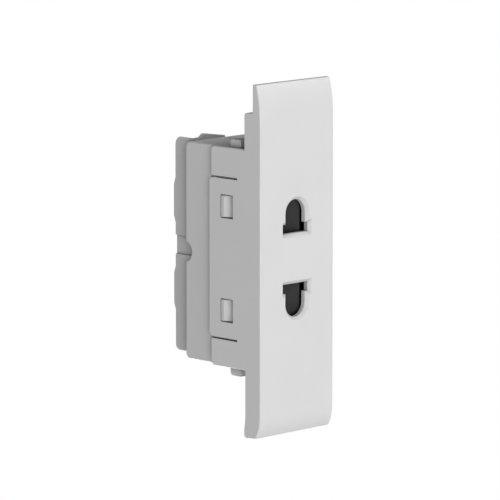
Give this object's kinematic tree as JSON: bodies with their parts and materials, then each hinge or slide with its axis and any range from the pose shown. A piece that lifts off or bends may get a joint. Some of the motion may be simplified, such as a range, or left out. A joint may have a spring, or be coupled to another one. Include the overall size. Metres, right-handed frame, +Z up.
{
  "type": "socket module",
  "caption": "Narrow clip-in socket module: tall front plate with pin openings for round pins or flat blades, sprung safety shutter, snap-fit skirts and a stepped rear body with wire clamps",
  "frame": {"origin": "middle of the frame opening, on the seat plane at the back of the front plate", "axes": "+Z up along the plate, -Y out of the front, +X to the right seen from the front"},
  "size_m": [0.022, 0.0278, 0.0746],
  "materials": {
    "cover_plastic": "satin white-grey moulded plastic",
    "body_plastic": "satin light grey moulded plastic",
    "shutter_plastic": "dark grey moulded plastic",
    "carrier_plastic": "black moulded plastic",
    "spring_steel": "drawn spring steel",
    "contact_brass": "stamped brass strip",
    "clamp_steel": "zinc-plated steel"
  },
  "bodies": {
    "housing": {"front_cover": "cover_plastic", "base_housing": "body_plastic", "terminal_block": "body_plastic", "shutter_carrier": "carrier_plastic", "shutter_spring": "spring_steel", "contact_clip_upper": "contact_brass", "contact_clip_lower": "contact_brass", "backing_spring_upper": "spring_steel", "backing_spring_lower": "spring_steel"},
    "shutter": {"shutter": "shutter_plastic"},
    "clamp_screw_upper": {"terminal_screw_upper": "clamp_steel"},
    "clamp_cage_upper": {"terminal_cage_upper": "clamp_steel"},
    "clamp_screw_lower": {"terminal_screw_lower": "clamp_steel"},
    "clamp_cage_lower": {"terminal_cage_lower": "clamp_steel"}
  },
  "joints": [
    {"name": "shutter_slide", "type": "slide", "parent": "housing", "child": "shutter", "axis": [1, 0, 0], "range_m": [0, 0.00615], "stiffness_N_per_m": 100, "springref_m": -0.006, "deforming": ["shutter_spring"]},
    {"name": "screw_turn_upper", "type": "hinge", "parent": "housing", "child": "clamp_screw_upper", "pos_m": [0, 0.01505, 0.0172], "axis": [0, 0, -1], "range_deg": [0, 1440]},
    {"name": "cage_lift_upper", "type": "slide", "parent": "housing", "child": "clamp_cage_upper", "axis": [0, 0, 1], "range_m": [0, 0.0024]},
    {"name": "screw_turn_lower", "type": "hinge", "parent": "housing", "child": "clamp_screw_lower", "pos_m": [0, 0.01505, -0.0172], "axis": [0, 0, 1], "range_deg": [0, 1440]},
    {"name": "cage_lift_lower", "type": "slide", "parent": "housing", "child": "clamp_cage_lower", "axis": [0, 0, -1], "range_m": [0, 0.0024]}
  ],
  "couplings": [
    {"joint": "screw_turn_upper", "follows": "cage_lift_upper", "rad_per_m": 10472},
    {"joint": "screw_turn_lower", "follows": "cage_lift_lower", "rad_per_m": 10472}
  ]
}
